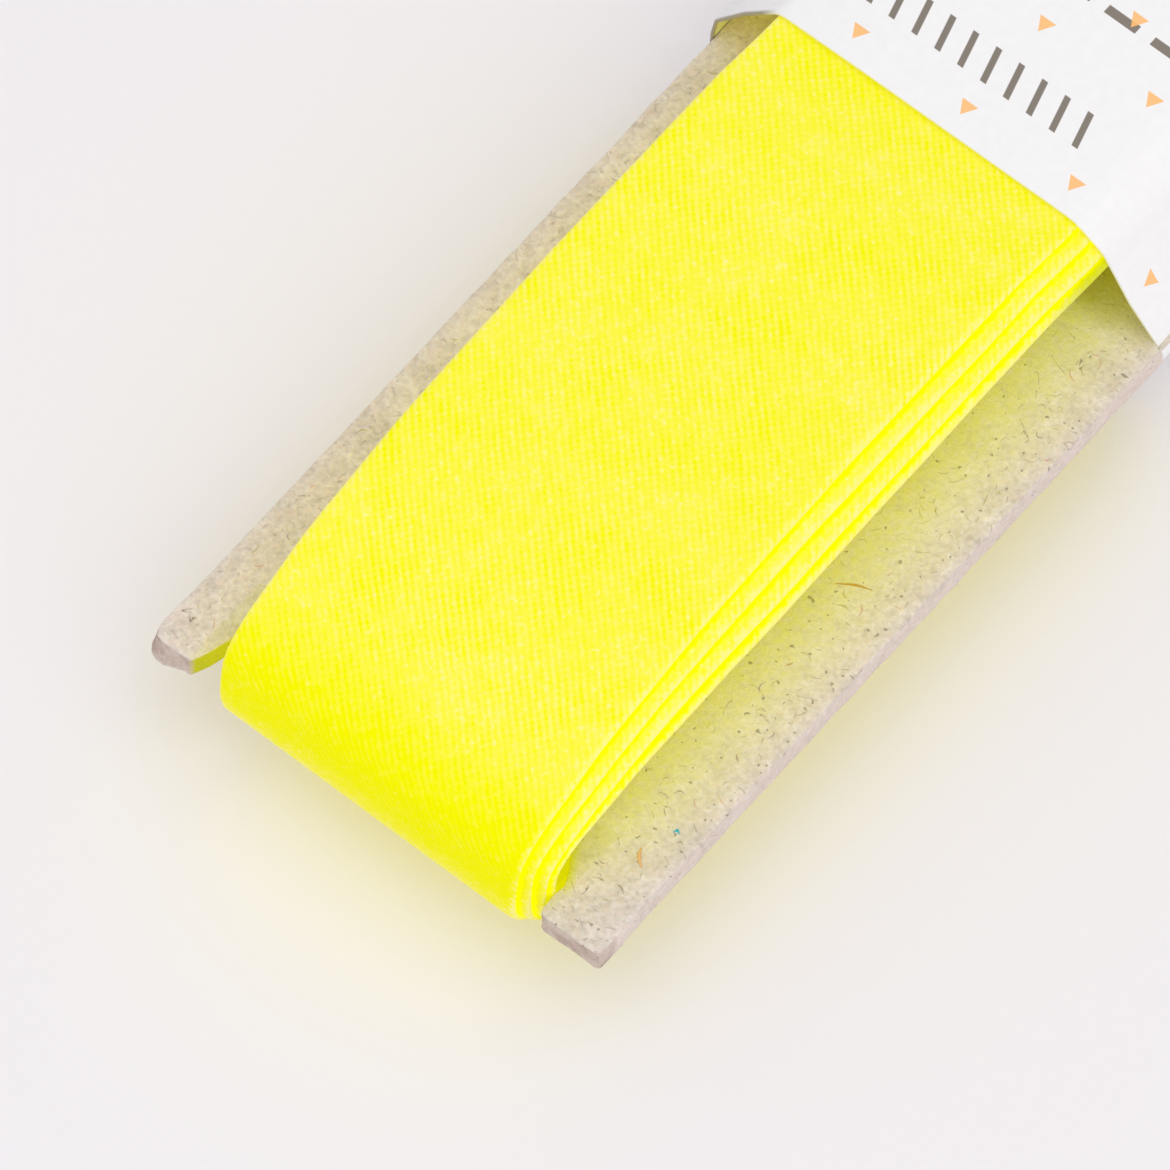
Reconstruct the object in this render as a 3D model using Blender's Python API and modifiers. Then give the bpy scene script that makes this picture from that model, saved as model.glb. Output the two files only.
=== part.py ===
"""Roll of bias binding: folded cotton tape wound lengthwise round a notched board, with a paper band.

Metres, +Z up. X runs across the board and Y along it, with the end that faces the viewer at -Y.
The origin is on the surface that the roll rests on, below the middle of the board.
"""

import math

import bmesh
import bpy

MM = 0.001
CLEARANCE = 0.3 * MM  # between pieces that touch

# Board
BOARD_LENGTH = 134.0 * MM
BOARD_WIDTH = 30.0 * MM
BOARD_THICKNESS = 1.67 * MM
NOTCH_DEPTH = 4.8 * MM
# Half of the outline at one end, from the left edge to the right one, in millimetres:
# distance from the board's left edge, distance in from its end
BOARD_END = [
    (0.0, 0.9),
    (0.35, 0.25),
    (0.9, 0.05),
    (2.24, 0.09),
    (2.75, 1.1),
    (3.12, 2.25),
    (3.45, 3.9),
    (3.9, 4.8),
    (24.6, 4.8),
    (25.28, 3.73),
    (26.1, 2.5),
    (26.41, 1.75),
    (26.31, 0.09),
    (29.7, 0.0),
    (30.0, 0.3),
]

# Paper band
BAND_LENGTH = 40.0 * MM
BAND_WALL = 0.5 * MM
# Inner face of the band above the board's middle plane, from the left edge to the right one,
# in millimetres: place across, height. The part below the board is the same, turned over.
BAND_INNER = [
    (-15.3, 0.9),
    (-15.15, 2.4),
    (-14.3, 4.0),
    (-12.9, 5.9),
    (-11.45, 7.6),
    (-10.95, 7.95),
    (9.55, 7.95),
    (10.6, 7.35),
    (11.5, 6.55),
    (11.95, 5.6),
    (12.3, 4.6),
    (13.3, 3.3),
    (15.3, 0.9),
]

# Winding
TAPE_WIDTH = 20.3 * MM
TAPE_LEFT = -10.95 * MM  # left edge of the uppermost turn
NOSE_OVERHANG = 0.4 * MM  # how far the winding stands out past the board's ends
NOSE_LENGTH = 24.0 * MM  # from the tip of the winding to its full height
NOSE_ROUND = 0.68  # below 1 the tip is blunter than an ellipse
NOSE_ANGLES = [0, 4, 9, 15, 21, 28, 36, 45, 55, 66, 78]
SLOT_ANGLE = 24.0  # share of those angles, in degrees, that goes round the slot's end
SLOT_ROUND = 0.3  # below 1 the slot's end is squarer than a half circle, like the board in it
HALF_HEIGHT_TOP = 8.45 * MM
HALF_HEIGHT_UNDER = 8.2 * MM
# Along the board, in millimetres: distance in from its end, share of the full height
CROWN = [
    (24.0, 1.0),
    (31.0, 1.0),
    (38.0, 0.995),
    (43.4, 0.97),
    (46.4, 0.905),
    (67.0, 0.905),
]
# Turns from the outside in: how many, how far they are shifted to the right along the board
# and at the ends of it, in millimetres
TURNS = [
    (1, 0.0, 0.0),
    (1, 0.9, 0.65),
    (1, 1.75, 1.25),
    (1, 2.2, 1.5),
    (7, -0.05, 0.0),
]
TURN_COUNT = sum(row[0] for row in TURNS)
FOLD_ROUND = 0.2 * MM  # rounding of a turn's folded edge, across
FOLD_SHARE = 0.25  # and down, as a share of one turn
SHIFT_GROWS_UNTIL = 18.0 * MM  # the shifts reach their full size this far from the ends

MIDDLE = max(z for _, z in BAND_INNER) * MM + BAND_WALL  # height of the board's middle plane
HALF_BOARD = BOARD_LENGTH / 2
SLOT_HALF_HEIGHT = BOARD_THICKNESS / 2 + CLEARANCE
SLOT_END = HALF_BOARD - NOTCH_DEPTH + CLEARANCE


def clear_scene():
    for item in list(bpy.data.objects):
        bpy.data.objects.remove(item, do_unlink=True)


def part_collection():
    collection = bpy.data.collections.new("bias_binding_roll")
    bpy.context.scene.collection.children.link(collection)
    return collection


def material(name, colour, roughness):
    made = bpy.data.materials.new(name)
    made.use_nodes = True
    shader = made.node_tree.nodes["Principled BSDF"]
    shader.inputs["Base Color"].default_value = (*colour, 1.0)
    shader.inputs["Roughness"].default_value = roughness
    shader.inputs["Metallic"].default_value = 0.0
    return made


def add_mesh(name, bm, collection, finish):
    bmesh.ops.recalc_face_normals(bm, faces=bm.faces)
    mesh = bpy.data.meshes.new(name)
    bm.to_mesh(mesh)
    bm.free()
    mesh.materials.append(finish)
    item = bpy.data.objects.new(name, mesh)
    collection.objects.link(item)
    return item


def make_board(collection):
    """The board, a flat outline with the same notch at both ends."""
    left = -BOARD_WIDTH / 2
    near = [(left + d * MM, -HALF_BOARD + y * MM) for d, y in BOARD_END]
    far = [(x, -y) for x, y in reversed(near)]
    curve = bpy.data.curves.new("board_core", "CURVE")
    curve.dimensions = "2D"
    curve.fill_mode = "BOTH"
    curve.extrude = BOARD_THICKNESS / 2
    outline = near + far
    spline = curve.splines.new("POLY")
    spline.points.add(len(outline) - 1)
    for point, (x, y) in zip(spline.points, outline):
        point.co = (x, y, 0.0, 1.0)
    spline.use_cyclic_u = True
    curve.materials.append(material("grey_board", (0.72, 0.66, 0.56), 0.9))
    item = bpy.data.objects.new("board_core", curve)
    item.location.z = MIDDLE
    collection.objects.link(item)
    return item


def make_band(collection):
    """The paper band, an open tube round the board and the winding, given its wall outwards."""
    upper = [(x * MM, z * MM) for x, z in BAND_INNER]
    lower = [(x, -z) for x, z in reversed(upper)]
    bm = bmesh.new()
    rings = []
    for y in (-BAND_LENGTH / 2, BAND_LENGTH / 2):
        rings.append([bm.verts.new((x, y, MIDDLE + z)) for x, z in upper + lower])
    skin_ring(bm, rings[0], rings[1])
    item = add_mesh("paper_band", bm, collection, material("label_paper", (0.9, 0.9, 0.9), 0.6))
    wall = item.modifiers.new("wall", "SOLIDIFY")
    wall.thickness = BAND_WALL
    wall.offset = 1.0
    wall.use_even_offset = True
    return item


def skin_ring(bm, ring, following):
    """Joins two closed rings of the same number of points with a belt of faces."""
    count = len(ring)
    for i in range(count):
        j = (i + 1) % count
        bm.faces.new((ring[i], ring[j], following[j], following[i]))


def nose_station(angle):
    """A pair of points at the winding's near end, above the middle plane: slot, outside."""
    turn = math.radians(angle)
    outside_y = -HALF_BOARD - NOSE_OVERHANG + NOSE_LENGTH * (1 - math.cos(turn))
    outside_z = math.sin(turn) ** NOSE_ROUND
    if angle <= SLOT_ANGLE:
        round_slot = math.radians(90 * angle / SLOT_ANGLE)
        slot_y = -SLOT_END + SLOT_HALF_HEIGHT * (1 - math.cos(round_slot) ** SLOT_ROUND)
        slot_z = SLOT_HALF_HEIGHT * math.sin(round_slot) ** SLOT_ROUND
    else:
        start = -SLOT_END + SLOT_HALF_HEIGHT
        finish = -HALF_BOARD + CROWN[0][0] * MM
        share = (angle - SLOT_ANGLE) / (90 - SLOT_ANGLE)
        slot_y = start + (finish - start) * share
        slot_z = SLOT_HALF_HEIGHT
    return (slot_y, slot_z), (outside_y, outside_z)


def quarter_stations():
    """Stations from the near tip to the middle of the board; outside heights are shares."""
    stations = [nose_station(angle) for angle in NOSE_ANGLES]
    for from_end, share in CROWN:
        y = -HALF_BOARD + from_end * MM
        stations.append(((y, SLOT_HALF_HEIGHT), (y, share)))
    return stations


def loop_stations():
    """Stations all round the winding: over the top to the far end and back below the board."""
    quarter = quarter_stations()
    over = quarter + [mirrored_y(s) for s in reversed(quarter[:-1])]
    under = [mirrored_z(s) for s in reversed(over[1:-1])]
    return over + under


def mirrored_y(station):
    (slot_y, slot_z), (outside_y, outside_z) = station
    return (-slot_y, slot_z), (-outside_y, outside_z)


def mirrored_z(station):
    (slot_y, slot_z), (outside_y, outside_z) = station
    return (slot_y, -slot_z), (outside_y, -outside_z)


def section(spread):
    """Outline of the stacked turns: place across, and share of the way from slot to outside.

    spread goes from 0 at the board's ends to 1 along it, and sets how far turns are shifted.
    """
    left, right = [], []
    outside = TURN_COUNT
    for turns, shift_along, shift_end in TURNS:
        shift = (shift_end + (shift_along - shift_end) * spread) * MM
        x_left = TAPE_LEFT + shift
        x_right = x_left + TAPE_WIDTH
        inside = outside - turns
        heights = [
            outside / TURN_COUNT,
            (outside - FOLD_SHARE) / TURN_COUNT,
            (inside + FOLD_SHARE) / TURN_COUNT,
            inside / TURN_COUNT,
        ]
        insets = [FOLD_ROUND, 0.0, 0.0, FOLD_ROUND]
        for height, inset in zip(heights, insets):
            left.append((x_left + inset, height))
            right.append((x_right - inset, height))
        outside = inside
    return left + right[::-1]


def make_winding(collection):
    """The wound tape, a loft of stacked turns round the slot that the board lies in."""
    bm = bmesh.new()
    rings = []
    for (slot_y, slot_z), (outside_y, outside_share) in loop_stations():
        half_height = HALF_HEIGHT_TOP if outside_share > 0 else HALF_HEIGHT_UNDER
        outside_z = outside_share * half_height
        from_end = HALF_BOARD - abs(outside_y)
        spread = min(max(from_end / SHIFT_GROWS_UNTIL, 0.0), 1.0)
        ring = []
        for x, share in section(spread):
            y = slot_y + (outside_y - slot_y) * share
            z = slot_z + (outside_z - slot_z) * share
            ring.append(bm.verts.new((x, y, MIDDLE + z)))
        rings.append(ring)
    for i, ring in enumerate(rings):
        skin_ring(bm, ring, rings[(i + 1) % len(rings)])
    item = add_mesh("wound_tape", bm, collection, material("yellow_cotton", (0.95, 0.93, 0.05), 0.85))
    item.data.shade_smooth()
    item.data.set_sharp_from_angle(angle=math.radians(35))
    return item


def main():
    clear_scene()
    collection = part_collection()
    make_board(collection)
    make_winding(collection)
    make_band(collection)


main()
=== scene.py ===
"""Looks of the roll of bias binding: fluorescent cotton tape on a greyboard, with a paper band.

Metres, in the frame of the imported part: X across the board, Y along it, Z up.
"""

import math
import random
from collections import namedtuple
from functools import partial

import bmesh
import bpy
import numpy as np
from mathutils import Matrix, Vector


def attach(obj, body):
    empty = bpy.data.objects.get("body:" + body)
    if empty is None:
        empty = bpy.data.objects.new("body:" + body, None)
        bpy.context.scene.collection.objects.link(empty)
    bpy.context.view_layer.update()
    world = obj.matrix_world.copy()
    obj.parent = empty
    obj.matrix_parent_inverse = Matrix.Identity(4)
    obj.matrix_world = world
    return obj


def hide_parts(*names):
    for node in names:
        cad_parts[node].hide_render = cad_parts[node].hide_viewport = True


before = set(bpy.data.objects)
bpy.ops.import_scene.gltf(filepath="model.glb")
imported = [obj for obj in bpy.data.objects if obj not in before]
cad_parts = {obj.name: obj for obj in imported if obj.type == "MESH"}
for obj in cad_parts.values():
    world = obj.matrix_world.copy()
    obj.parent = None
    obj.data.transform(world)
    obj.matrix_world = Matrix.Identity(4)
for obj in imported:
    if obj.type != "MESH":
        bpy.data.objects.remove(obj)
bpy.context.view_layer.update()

MM = 0.001

# Board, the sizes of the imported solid
BOARD_LEFT = -15.0 * MM
BOARD_LENGTH = 134.0 * MM
BOARD_THICKNESS = 1.67 * MM
BOARD_MIDDLE = 8.45 * MM  # height of its middle plane
BOARD_TOP = BOARD_MIDDLE + BOARD_THICKNESS / 2
BOARD_EDGE_ROUND = 0.13 * MM
BOARD_EDGE_ANGLE = math.radians(50)  # only edges sharper than this are rounded
BOARD_CELL = 1.1 * MM  # spacing of the cuts that give the board its points
BOARD_LAYERS = (0.36, 0.7)  # cuts through its thickness, as shares of it
PULP_GRAIN = 1.3 * MM
PULP_DEPTH = 0.17 * MM
BOARD_SMOOTH_ANGLE = math.radians(35)
# Prongs beside the notch, in millimetres: distance in from the board's end, left and right
# side of the prong measured from the board's left edge
LEFT_PRONG = [
    (4.8, -0.3, 3.9),
    (3.9, -0.3, 3.45),
    (2.25, -0.32, 3.12),
    (1.1, -0.35, 2.75),
    (0.5, -0.3, 2.5),
    (0.15, -0.05, 2.32),
    (0.02, 0.45, 2.22),
]
RIGHT_PRONG = [
    (4.8, 24.45, 30.15),
    (3.73, 25.05, 30.15),
    (2.5, 25.8, 30.18),
    (1.75, 26.1, 30.2),
    (0.1, 26.1, 30.22),
    (-0.25, 26.22, 30.2),
    (-0.4, 26.55, 29.9),
]
# The knocked tip of the near left prong: what lies left of and nearer than this corner, and how
# far its lower layers move, from a depth that is a share of the thickness, in millimetres
KNOCKED_CORNER = (-14.0 * MM, -65.9 * MM)
KNOCKED_LAYERS = [
    (0.3, (-0.05, -0.1, -0.03)),
    (0.6, (-0.1, -0.26, -0.12)),
]

# Tape
TAPE_WIDTH = 20.3 * MM
TAPE_CENTRE = -0.75 * MM  # middle of the uppermost turn
CLOTH_THICKNESS = 0.12 * MM
TURN_COUNT = 11
TURN_DEPTH = 0.9  # from a turn's face to its folded-in flaps, as a share of the turn spacing
TURN_STEP = 1.5 * MM  # cloth counted for the step from one turn to the next
FOLD_ROUND = 0.42 * MM
FOLD_HEIGHT = 0.45 * MM  # cloth counted from a turn's face round to its flaps
FOLD_BEND = (30, 60, 90, 112, 134, 157)  # degrees round the fold, from the flap to the face
FLAP_POINTS = (0.35, 4.5, 8.7)  # places across a flap, from the slit between the two, in millimetres
FACE_POINTS = (9.1, 7.2, 4.8, 2.4, 0.0)  # places across the face, from its middle, in millimetres
# The winding's section along the board, in millimetres: outside of the winding as distance in
# from the board's end and height above the middle plane, then the same of the slot
WINDING = [
    (-0.40, 0.00, 4.75, 0.00),
    (-0.37, 0.90, 4.75, 0.45),
    (-0.27, 1.90, 4.75, 0.75),
    (-0.05, 2.95, 4.80, 0.88),
    (0.45, 3.80, 5.00, 0.90),
    (1.20, 4.42, 5.50, 0.90),
    (2.20, 4.95, 6.20, 0.90),
    (3.60, 5.50, 7.30, 0.90),
    (5.30, 6.15, 8.70, 0.90),
    (7.00, 6.78, 10.1, 0.90),
    (9.00, 7.30, 11.7, 0.90),
    (12.0, 7.76, 14.2, 0.90),
    (15.0, 8.10, 16.6, 0.90),
    (18.5, 8.33, 19.5, 0.90),
    (24.0, 8.48, 24.0, 0.90),
    (31.0, 8.45, 31.0, 0.90),
    (38.0, 8.38, 38.0, 0.90),
    (43.4, 8.18, 43.4, 0.90),
    (46.0, 7.60, 46.0, 0.90),
    (49.0, 7.38, 49.0, 0.90),
    (58.0, 7.36, 58.0, 0.90),
    (67.0, 7.36, 67.0, 0.90),
]
# The same points below the board: how much further in the first ones lie, in millimetres, and the
# share of the height that the top has
UNDER_INSET = [0.0, 0.02, 0.15, 0.65, 1.05, 1.35, 1.6, 1.7, 1.8, 2.0, 2.3, 2.5, 2.5, 2.0, 1.0]
UNDER_SHARE = 0.985
# Sampling of the winding in millimetres of its length from the tip: up to, step
WINDING_STEPS = [(9.0, 0.9), (27.0, 2.0), (75.0, 3.6)]
# Turns from the outside in, in millimetres: shift to the right along the board, at its ends
TURN_SHIFTS = [
    (0.0, 0.0),
    (0.88, 0.65),
    (1.74, 1.25),
    (2.18, 1.5),
    (-0.05, 0.0),
    (0.06, 0.05),
    (-0.1, 0.0),
    (0.02, 0.0),
    (-0.06, 0.0),
    (0.05, 0.0),
    (0.0, 0.0),
]
INNER_TURNS = 7  # turns that lie deep in the winding, behind the shifted ones
NOTHING_ABOVE = -0.1  # in place of the covering edge, far to the left, for the uppermost turn
ALL_COVERED = TAPE_WIDTH / 2 + 2 * MM  # the same for the inner turns, to the right of them
SHIFT_GROWS_UNTIL = 18.0 * MM
CROSSING = 17.0 * MM  # a turn passes to the next one this far each side of the underside's middle
LEAN = 0.28 * MM  # how much lower the right side of the top is
LEAN_GROWS_UNTIL = 4.0 * MM
TIP_SLANT = 0.22 * MM  # how much further out the right side of the near tip is
TIP_LENGTH = 9.0 * MM  # stretch of the board that the slant fades over
DRIFT = 0.32 * MM  # to the right, from the band to the near tip
DRIFT_FROM = 20.0 * MM  # start of that, from the middle of the board
# Slow unevenness of the edges and of the faces: strength and wavelength in millimetres, seed
EDGE_WANDER = [(0.05, 41.0, 3), (0.03, 11.0, 5)]
FACE_RIPPLE = (0.035, 13.0, 11)
RIPPLE_ABOVE = 5.0 * MM  # height over the middle plane from which the faces ripple
RIPPLE_SLANT = 0.8  # how far a ripple runs along the tape for each step across it

# Paper band: its outer face in millimetres, across and above the board's middle plane, from the
# inner end of the lap below, up the left side, over the top and back to the outer end of the lap
PAPER_THICKNESS = 0.17 * MM
PAPER_WAVE = 9.0 * MM
PAPER_EASE = 0.16 * MM
BAND_HALF_LENGTH = 20.0 * MM
BAND_CUTS = 16
BAND_SMOOTH_ANGLE = math.radians(40)
BAND_SECTION = [
    (4.0, -8.14),
    (-5.0, -8.16),
    (-10.2, -8.22),
    (-10.75, -8.14),
    (-11.2, -7.85),
    (-13.35, -5.5),
    (-15.2, -2.8),
    (-15.48, -1.2),
    (-15.55, 0.0),
    (-15.5, 1.2),
    (-15.25, 2.7),
    (-13.35, 5.4),
    (-11.3, 7.7),
    (-10.95, 7.98),
    (-10.5, 8.1),
    (-5.0, 8.04),
    (2.0, 7.9),
    (8.5, 7.72),
    (9.15, 7.62),
    (9.75, 7.3),
    (10.75, 6.65),
    (11.2, 6.3),
    (11.55, 5.7),
    (13.05, 3.15),
    (14.85, 0.95),
    (15.25, 0.4),
    (15.35, 0.0),
    (15.25, -0.4),
    (14.85, -0.95),
    (13.05, -3.3),
    (11.7, -5.8),
    (11.3, -6.5),
    (10.75, -6.95),
    (9.75, -7.75),
    (9.15, -8.04),
    (8.4, -8.24),
    (4.5, -8.35),
    (-4.0, -8.36),
]
TOP_LEFT_POINT = 14  # the point of that table where the printed face starts

# Camera, a long lens far away, as the photograph's edges run nearly parallel
CAMERA_AZIMUTH = 38.96
CAMERA_ELEVATION = 59.8
CAMERA_DISTANCE = 2.053
CAMERA_LENS = 1200.0
CAMERA_AIM = (0.54 * MM, -50.4 * MM, 9.285 * MM)

# Light
SKY_STRENGTH = 0.67
LAMP_POWER = 9.2
LAMP_SIZE = 1.6
LAMP_DISTANCE = 1.25
LAMP_AZIMUTH = 50.0
LAMP_ELEVATION = 63.0
FLOOR_SIZE = 6.0

random.seed(7)


# Helpers

def linear(code):
    """Turns an sRGB hex colour into the linear one that a socket takes."""
    values = []
    for i in (1, 3, 5):
        value = int(code[i:i + 2], 16) / 255
        values.append(value / 12.92 if value <= 0.04045 else ((value + 0.055) / 1.055) ** 2.4)
    return (*values, 1.0)


def set_inputs(node, inputs):
    """Gives a node its inputs, by name or in their order, each a socket to join or a value."""
    pairs = inputs.items() if isinstance(inputs, dict) else enumerate(inputs)
    for key, value in pairs:
        if isinstance(value, bpy.types.NodeSocket):
            node.id_data.links.new(value, node.inputs[key])
        else:
            node.inputs[key].default_value = value


EASED = {"interpolation_type": "SMOOTHSTEP"}  # setting that gives a range soft ends


def add_node(tree, kind, inputs=(), output=0, **settings):
    """Adds a node with its settings and inputs, and gives one of its outputs."""
    node = tree.nodes.new("ShaderNode" + kind)
    for name, value in settings.items():
        setattr(node, name, value)
    set_inputs(node, inputs)
    return node.outputs[output]


def new_material(name, base, roughness):
    """A material, its shader with the uniform values, and add_node for its tree."""
    made = bpy.data.materials.new(name)
    made.use_nodes = True
    shader = made.node_tree.nodes["Principled BSDF"]
    set_inputs(shader, {"Base Color": linear(base), "Roughness": roughness})
    return made, shader, partial(add_node, made.node_tree)


def set_stops(ramp, stops):
    """Gives a colour ramp its stops, each a position and a colour."""
    elements = ramp.node.color_ramp.elements
    elements.remove(elements[1])
    for position, code in stops[1:]:
        elements.new(position).color = linear(code)
    elements[0].position = stops[0][0]
    elements[0].color = linear(stops[0][1])


def lay_tints(node, colour, tints):
    """Lays tints over a colour, each as strongly as all its amounts multiplied."""
    for code, *amounts in tints:
        strength = amounts[0]
        for amount in amounts[1:]:
            strength = node("Math", (strength, amount), operation="MULTIPLY")
        links = {"Factor": strength, 6: colour, 7: linear(code)}
        colour = node("Mix", links, output=2, data_type="RGBA")
    return colour


def between(node, value, low, high, soft):
    """1 between two places and 0 outside them, with edges as wide as twice soft."""
    rise = node("MapRange", (value, low - soft, low + soft, 0.0, 1.0))
    return node("MapRange", (value, high - soft, high + soft, rise, 0.0))


def direction(azimuth, elevation):
    """Unit vector at angles in degrees, the azimuth from -Y towards +X."""
    turn = math.radians(azimuth)
    rise = math.radians(elevation)
    flat = math.cos(rise)
    return Vector((math.sin(turn) * flat, -math.cos(turn) * flat, math.sin(rise)))


def select_only(item):
    bpy.ops.object.select_all(action="DESELECT")
    item.select_set(True)
    bpy.context.view_layer.objects.active = item


def apply_modifiers(item):
    select_only(item)
    for modifier in list(item.modifiers):
        bpy.ops.object.modifier_apply(modifier=modifier.name)


def settle_place(item):
    """Moves a piece's place, turn and size into its mesh."""
    select_only(item)
    bpy.ops.object.transform_apply(location=True, rotation=True, scale=True)


def pick_edges(item, test):
    """In edit mode, selects the edges whose middle passes the test."""
    bpy.ops.mesh.select_mode(type="EDGE")
    bpy.ops.mesh.select_all(action="DESELECT")
    mesh = bmesh.from_edit_mesh(item.data)
    for edge in mesh.edges:
        middle = (edge.verts[0].co + edge.verts[1].co) / 2
        if test(middle):
            edge.select_set(True)
    bmesh.update_edit_mesh(item.data)


def cut_all(point, normal):
    """In edit mode, cuts everything along a plane."""
    bpy.ops.mesh.select_all(action="SELECT")
    bpy.ops.mesh.bisect(plane_co=point, plane_no=normal)


def make_uneven(item, name, grain, depth):
    """Gives a piece slow random bumps, as a modifier."""
    clouds = bpy.data.textures.new(name, "CLOUDS")
    clouds.noise_scale = grain
    bumps = item.modifiers.new(name, "DISPLACE")
    bumps.texture = clouds
    bumps.texture_coords = "LOCAL"
    bumps.strength = depth
    bumps.mid_level = 0.5


# Finish of the tape

WARP_PITCH = 0.392 * MM  # measured across the threads
WEFT_PITCH = 0.376 * MM
# Unit directions across the threads: the strip is cut on the bias and a little stretched, so
# warp and weft lie 47 and 49 degrees to its width and not quite square to each other
ACROSS_WARP = (0.730, 0.683)
ACROSS_WEFT = (0.758, -0.652)
# Wander of the threads: noise scale, and how far they move
THREAD_WANDER = [(60.0, 0.8 * MM), (900.0, 0.11 * MM)]
THREAD_RELIEF = 0.07 * MM
FOLD_AT = 10.35 * MM  # distance of a fold's crest from the strip's middle, on the cloth
EDGE_WAVER = 0.25 * MM  # creases and covered edges stray from a straight line by up to this
SHADE_START = 0.015  # shade of the cloth before its patterns are added
CLOTH_STOPS = [(0.0, "#C2C500"), (0.55, "#C9C548"), (1.0, "#CCC690")]

# Threads of one direction: their count across the cloth, a wave that passes zero between them,
# and its size, 1 on a thread's crown
Threads = namedtuple("Threads", "count wave crown")


def lay_threads(node, cloth, across, pitch):
    step = (across[0] / pitch, across[1] / pitch, 0.0)
    count = node("VectorMath", (cloth, step), output="Value", operation="DOT_PRODUCT")
    angle = node("Math", (count, math.pi), operation="MULTIPLY")
    wave = node("Math", (angle,), operation="SINE")
    return Threads(count, wave, node("Math", (wave,), operation="ABSOLUTE"))


def thread_streaks(node, x, y, stretch, detail):
    """Noise in streaks along single threads; stretch is applied to the thread counts x and y."""
    counts = node("CombineXYZ", (x, y))
    place = node("VectorMath", (counts, (*stretch, 0.0)), operation="MULTIPLY")
    return node("TexNoise", {"Vector": place, "Scale": 1.0, "Detail": detail})


def weave_height(node, warp, weft):
    """Relief of a plain weave: the threads' crowns, each higher where it lies over the other."""
    heights = []
    for own, other, swing, middle in ((warp, weft, 0.25, 0.75), (weft, warp, -0.3, 0.6)):
        side = node("Math", (own.wave,), operation="SIGN")
        over = node("Math", (side, other.wave), operation="MULTIPLY")
        over = node("Math", (over, swing, middle), operation="MULTIPLY_ADD")
        heights.append(node("Math", (own.crown, over), operation="MULTIPLY"))
    return node("Math", heights, operation="MAXIMUM")


def weave_pits(node, cloth, warp, weft):
    """Hollows between the threads, in dashes along the warp and deeper where the weave is loose."""
    gaps = [node("Math", (1.0, threads.crown), operation="SUBTRACT") for threads in (warp, weft)]
    crossing = node("Math", gaps, operation="MULTIPLY")
    pit = node("Math", (crossing, 0.85), operation="MULTIPLY")
    for gap, amount in zip(gaps, (0.87, 0.07)):
        pit = node("Math", (gap, amount, pit), operation="MULTIPLY_ADD")
    looseness = node("TexNoise", {"Vector": cloth, "Scale": 260.0, "Detail": 2.0})
    gap_line = node("Math", (warp.count,), operation="ROUND")
    dashes = thread_streaks(node, gap_line, weft.count, (3.7, 0.3), 1.0)
    for noise, span in ((looseness, (0.36, 0.66, 0.4, 1.25)), (dashes, (0.3, 0.7, 0.35, 1.65))):
        amount = node("MapRange", (noise, *span))
        pit = node("Math", (pit, amount), operation="MULTIPLY")
    return pit


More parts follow.
